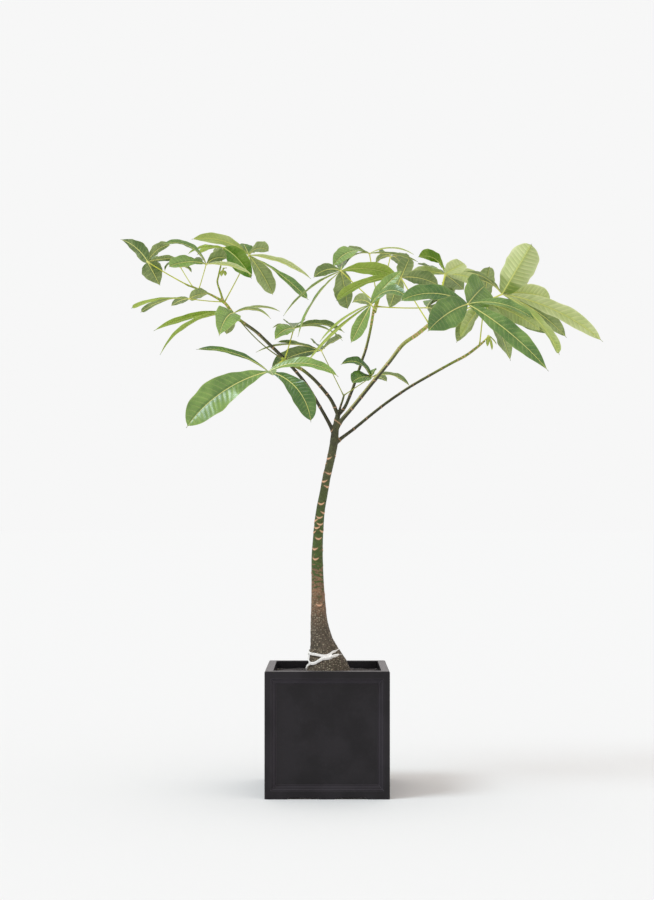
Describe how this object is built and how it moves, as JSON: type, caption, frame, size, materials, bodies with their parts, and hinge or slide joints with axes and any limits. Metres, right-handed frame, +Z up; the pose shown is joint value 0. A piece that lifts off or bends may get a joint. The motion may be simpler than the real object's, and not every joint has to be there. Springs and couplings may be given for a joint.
{
  "type": "potted money tree",
  "caption": "Money tree with palmate leaves on a slender branching trunk, standing in soil in a square panelled planter.",
  "frame": {"origin": "middle of the planter's underside, where it stands on the floor", "axes": "+Z up the trunk, +X to the right seen from the front, -Y towards the viewer"},
  "size_m": [1.0791, 0.4755, 1.2566],
  "materials": {
    "planter": "matte charcoal fibre resin with faint speckle",
    "soil": "dry potting mix with bark and pale grains",
    "bark": "green to grey-brown young bark with leaf scars, rough and pale at the foot",
    "tie": "flat white woven cord",
    "leaf": "waxy green blade with a pale underside and yellow-green ribs",
    "young_leaf": "soft yellow-green unfolding leaf"
  },
  "bodies": {
    "root": {"planter": "planter", "soil": "soil", "trunk": "bark", "tie": "tie", "leaf_left_outer": "leaf", "leaf_left_rear": "leaf", "leaf_left_front": "leaf", "leaf_left_high": "leaf", "leaf_left_top_pale": "leaf", "leaf_left_mid": "leaf", "leaf_left_low_small": "leaf", "leaf_left_large": "leaf", "leaf_mid_rear": "leaf", "leaf_mid_upper": "leaf", "leaf_mid_small": "leaf", "leaf_top_mid": "leaf", "leaf_top_rear": "leaf", "leaf_upper_left": "leaf", "leaf_upper_mid": "leaf", "leaf_middle_front": "leaf", "leaf_rear_right": "leaf", "leaf_upper_right": "leaf", "leaf_right_rear": "leaf", "leaf_right_far": "leaf", "leaf_front_large": "leaf", "leaf_young_left": "young_leaf", "leaf_young_right": "young_leaf"}
  },
  "joints": []
}
